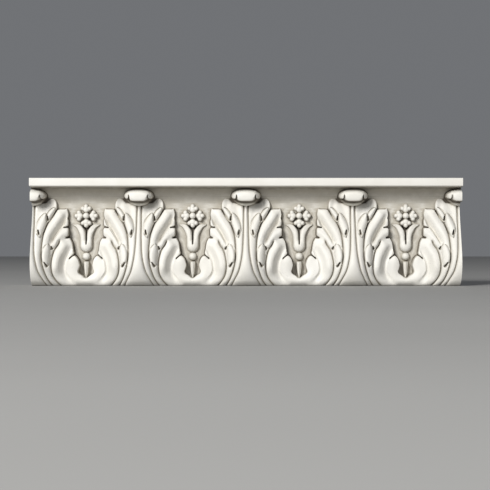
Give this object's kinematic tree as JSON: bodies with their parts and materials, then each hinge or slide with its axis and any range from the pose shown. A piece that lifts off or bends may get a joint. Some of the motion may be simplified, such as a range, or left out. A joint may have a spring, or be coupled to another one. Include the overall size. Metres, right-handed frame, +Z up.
{
  "type": "acanthus leaf moulding",
  "caption": "Straight cast plaster moulding with a flat top fillet, a cove and a row of acanthus leaves with curled tips, with flowers between them.",
  "frame": {"origin": "middle of the flat underside, at the centre of the length and of the depth", "axes": "+Z up towards the fillet, the length along X, the carved front facing -Y and the flat back facing +Y"},
  "size_m": [0.432, 0.046, 0.108],
  "materials": {
    "plaster": "smooth matt cast plaster, warm white"
  },
  "bodies": {
    "root": {"acanthus_moulding": "plaster"}
  },
  "joints": []
}
